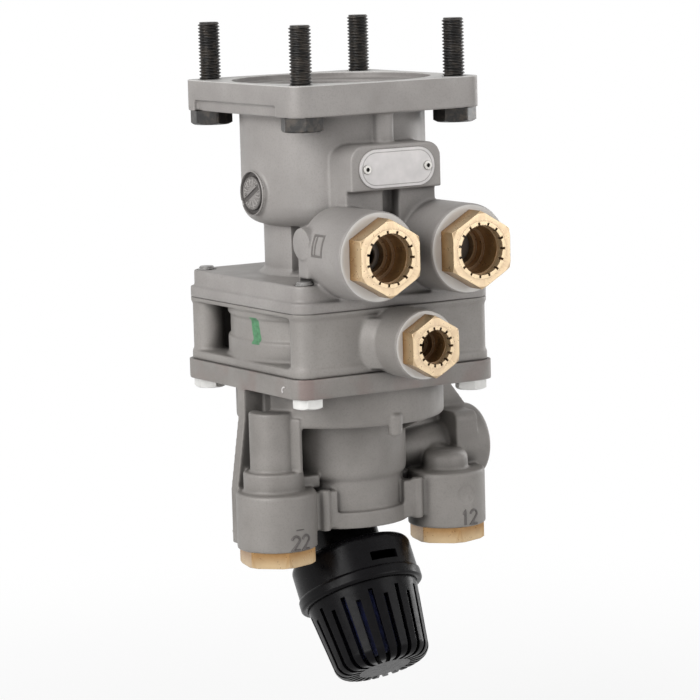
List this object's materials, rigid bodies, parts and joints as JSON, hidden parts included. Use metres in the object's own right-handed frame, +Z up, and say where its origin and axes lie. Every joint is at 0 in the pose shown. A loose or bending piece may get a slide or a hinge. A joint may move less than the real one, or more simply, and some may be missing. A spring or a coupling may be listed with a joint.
{
  "type": "truck foot brake valve",
  "caption": "Truck foot brake valve: stacked cast housings with bolted mounting flange, brass air ports, plunger with pistons and double valves inside, and a slanted exhaust silencer.",
  "frame": {"origin": "on the valve's axis, at the mounting flange's flat top", "axes": "+Z up along the valve's axis, -Y towards the front air ports, +X to the right seen from them"},
  "size_m": [0.1357, 0.1361, 0.3023],
  "materials": {
    "cast_aluminium": "satin",
    "brass": "satin",
    "black_bolt": "satin",
    "zinc_screw": "satin",
    "plate_metal": "satin",
    "bronze_ring": "satin",
    "rubber": "matte",
    "turned_aluminium": "satin",
    "spring_steel": "satin",
    "black_plastic": "matte",
    "filter_felt": "matte"
  },
  "bodies": {
    "housing": {"upper_housing": "cast_aluminium", "middle_housing": "cast_aluminium", "lower_housing": "cast_aluminium", "mounting_bolts": "black_bolt", "housing_screws": "zinc_screw", "nameplate": "plate_metal", "nameplate_rivets": "zinc_screw", "front_left_connector": "brass", "front_right_connector": "brass", "control_connector": "brass", "bottom_left_connector": "brass", "bottom_right_connector": "brass", "front_left_collet": "bronze_ring", "front_right_collet": "bronze_ring", "control_collet": "bronze_ring", "bottom_left_collet": "bronze_ring", "bottom_right_collet": "bronze_ring", "front_left_seal": "rubber", "front_right_seal": "rubber", "control_seal": "rubber", "bottom_left_seal": "rubber", "bottom_right_seal": "rubber", "upper_joint_seal": "rubber", "lower_joint_seal": "rubber", "cover_ring": "spring_steel", "guide_plate": "turned_aluminium", "dust_wiper": "rubber", "piston_return_spring": "spring_steel", "upper_valve_spring": "spring_steel", "upper_valve_guide": "turned_aluminium", "upper_guide_ring": "spring_steel", "relay_stem_seal": "rubber", "relay_return_spring": "spring_steel", "lower_valve_spring": "spring_steel", "lower_valve_guide": "turned_aluminium", "lower_guide_ring": "spring_steel", "silencer_holder": "black_plastic", "silencer_cage": "black_plastic", "silencer_element": "filter_felt"},
    "upper_piston": {"upper_piston": "turned_aluminium", "upper_piston_seal": "rubber", "rubber_spring": "rubber"},
    "plunger": {"plunger": "black_plastic"},
    "upper_valve": {"upper_valve": "turned_aluminium", "upper_valve_rubber": "rubber"},
    "relay_piston": {"relay_piston": "turned_aluminium", "relay_piston_seal": "rubber"},
    "lower_valve": {"lower_valve": "turned_aluminium", "lower_valve_rubber": "rubber"}
  },
  "joints": [
    {"name": "upper_piston_slide", "type": "slide", "parent": "housing", "child": "upper_piston", "axis": [0, 0, -1], "range_m": [0, 0.005], "stiffness_N_per_m": 15000, "springref_m": -0.004, "deforming": ["piston_return_spring"]},
    {"name": "plunger_press", "type": "slide", "parent": "upper_piston", "child": "plunger", "axis": [0, 0, -1], "range_m": [0, 0.004], "stiffness_N_per_m": 60000, "springref_m": -0.0005, "deforming": ["rubber_spring"]},
    {"name": "upper_valve_slide", "type": "slide", "parent": "housing", "child": "upper_valve", "axis": [0, 0, -1], "range_m": [0, 0.0035], "stiffness_N_per_m": 4000, "springref_m": -0.003, "deforming": ["upper_valve_spring"]},
    {"name": "relay_piston_slide", "type": "slide", "parent": "housing", "child": "relay_piston", "axis": [0, 0, -1], "range_m": [0, 0.004], "stiffness_N_per_m": 8000, "springref_m": -0.003, "deforming": ["relay_return_spring"]},
    {"name": "lower_valve_slide", "type": "slide", "parent": "housing", "child": "lower_valve", "axis": [0, 0, -1], "range_m": [0, 0.0027], "stiffness_N_per_m": 4000, "springref_m": -0.003, "deforming": ["lower_valve_spring"]}
  ],
  "couplings": [
    {"joint": "upper_valve_slide", "follows": "upper_piston_slide", "ratio": 0.7},
    {"joint": "lower_valve_slide", "follows": "relay_piston_slide", "ratio": 0.675}
  ]
}
